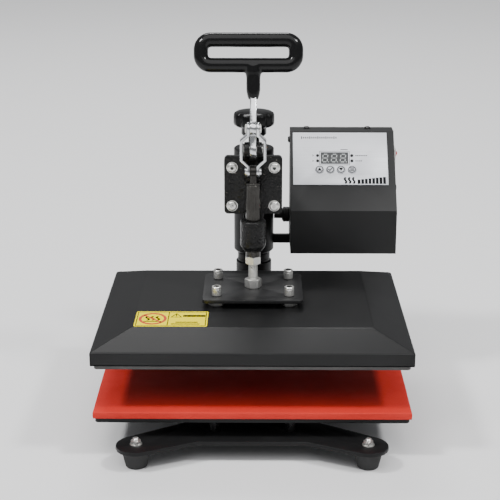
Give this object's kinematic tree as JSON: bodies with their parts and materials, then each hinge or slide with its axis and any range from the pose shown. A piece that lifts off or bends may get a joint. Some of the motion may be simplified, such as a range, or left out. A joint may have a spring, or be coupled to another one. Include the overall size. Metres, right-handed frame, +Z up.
{
  "type": "swing-away heat press",
  "caption": "Small manual swing-away heat press with flat platens, a toggle lever with a loop grip, a head that swings on a rear post and a sloping digital control box.",
  "frame": {"origin": "middle of the footprint at floor level", "axes": "+Z up, operator stands at -Y, control box on the +X side"},
  "size_m": [0.3082, 0.3434, 0.3878],
  "materials": {
    "black_powder_coat": "satin",
    "black_gloss_coat": "gloss",
    "wrinkle_paint": "matte",
    "box_paint": "satin",
    "chrome_plate": "polished",
    "zinc_plate": "satin",
    "bare_steel": "satin",
    "bare_aluminium": "brushed",
    "panel_aluminium": "brushed",
    "foot_rubber": "matte",
    "red_silicone": "matte",
    "grip_vinyl": "gloss",
    "black_plastic": "satin",
    "display_smoke": "gloss",
    "button_silver": "satin",
    "pale_plastic": "satin",
    "red_plastic": "gloss",
    "bronze_bush": "satin",
    "board_green": "satin",
    "mineral_wool": "matte"
  },
  "bodies": {
    "base": {"base_plate": "black_powder_coat", "foot_front_left": "foot_rubber", "foot_front_right": "foot_rubber", "foot_rear_left": "foot_rubber", "foot_rear_right": "foot_rubber", "foot_screw_front_left": "zinc_plate", "foot_screw_front_right": "zinc_plate", "foot_screw_rear_left": "zinc_plate", "foot_screw_rear_right": "zinc_plate", "standoff_front_left": "zinc_plate", "standoff_front_right": "zinc_plate", "standoff_rear_left": "zinc_plate", "standoff_rear_right": "zinc_plate", "lower_platen": "black_powder_coat", "foam_pad": "red_silicone", "post_tube": "black_powder_coat", "pivot_shaft": "bare_steel", "flanged_bush": "bronze_bush"},
    "swing_head": {"swing_sleeve": "black_powder_coat", "upper_bush": "bronze_bush", "swing_arm": "black_powder_coat", "clamp_body": "wrinkle_paint", "clamp_screw_1": "zinc_plate", "clamp_screw_2": "zinc_plate", "clamp_screw_3": "zinc_plate", "clamp_screw_4": "zinc_plate", "lever_pivot_pin": "zinc_plate", "box_shell": "box_paint", "box_chassis": "box_paint", "control_panel": "panel_aluminium", "display_module": "display_smoke", "controller_board": "board_green", "rocker_housing": "pale_plastic", "cord_inlet": "black_plastic", "box_bracket": "black_powder_coat", "box_mount_rod": "black_powder_coat"},
    "knob": {"lock_knob": "black_plastic"},
    "lever": {"lever_bar": "chrome_plate", "lever_grip": "grip_vinyl", "link_pin_upper": "zinc_plate"},
    "links": {"link_left": "chrome_plate", "link_right": "chrome_plate"},
    "ram": {"plunger": "bare_steel", "center_bolt": "zinc_plate", "lock_nut_lower": "zinc_plate", "lock_nut_upper": "zinc_plate", "hanger_plate": "black_gloss_coat", "hanger_bolt_front_left": "zinc_plate", "hanger_bolt_front_right": "zinc_plate", "hanger_bolt_rear_left": "zinc_plate", "hanger_bolt_rear_right": "zinc_plate", "platen_cover": "black_gloss_coat", "heat_platen": "bare_aluminium", "insulation": "mineral_wool", "platen_gland": "black_plastic"},
    "button_1": {"button_1": "button_silver"},
    "button_2": {"button_2": "button_silver"},
    "button_3": {"button_3": "button_silver"},
    "button_4": {"button_4": "button_silver"},
    "rocker": {"power_rocker": "red_plastic"}
  },
  "joints": [
    {"name": "head_swing", "type": "hinge", "parent": "base", "child": "swing_head", "pos_m": [0, 0.132, 0.19], "axis": [0, 0, 1], "range_deg": [-135, 135]},
    {"name": "platen_lift", "type": "slide", "parent": "swing_head", "child": "ram", "axis": [0, 0, -1], "range_m": [0, 0.042]},
    {"name": "lever_swing", "type": "hinge", "parent": "swing_head", "child": "lever", "pos_m": [0, -0.013, 0.2765], "axis": [1, 0, 0], "range_deg": [0, 180]},
    {"name": "link_turn", "type": "hinge", "parent": "lever", "child": "links", "pos_m": [0, -0.013, 0.2975], "axis": [1, 0, 0], "range_deg": [-180, 0]},
    {"name": "knob_turn", "type": "hinge", "parent": "base", "child": "knob", "pos_m": [0, 0.132, 0.28], "axis": [0, 0, 1], "range_deg": [-180, 180]},
    {"name": "button_1_press", "type": "slide", "parent": "swing_head", "child": "button_1", "axis": [0, 0.7446, -0.6675], "range_m": [0, 0.0008], "stiffness_N_per_m": 500},
    {"name": "button_2_press", "type": "slide", "parent": "swing_head", "child": "button_2", "axis": [0, 0.7446, -0.6675], "range_m": [0, 0.0008], "stiffness_N_per_m": 500},
    {"name": "button_3_press", "type": "slide", "parent": "swing_head", "child": "button_3", "axis": [0, 0.7446, -0.6675], "range_m": [0, 0.0008], "stiffness_N_per_m": 500},
    {"name": "button_4_press", "type": "slide", "parent": "swing_head", "child": "button_4", "axis": [0, 0.7446, -0.6675], "range_m": [0, 0.0008], "stiffness_N_per_m": 500},
    {"name": "power_switch", "type": "hinge", "parent": "swing_head", "child": "rocker", "pos_m": [0.1481, 0.12, 0.238], "axis": [0, 1, 0], "range_deg": [-16, 0]}
  ],
  "couplings": [
    {"joint": "lever_swing", "follows": "platen_lift", "rad_per_m": 74.79},
    {"joint": "link_turn", "follows": "platen_lift", "rad_per_m": -74.79}
  ]
}
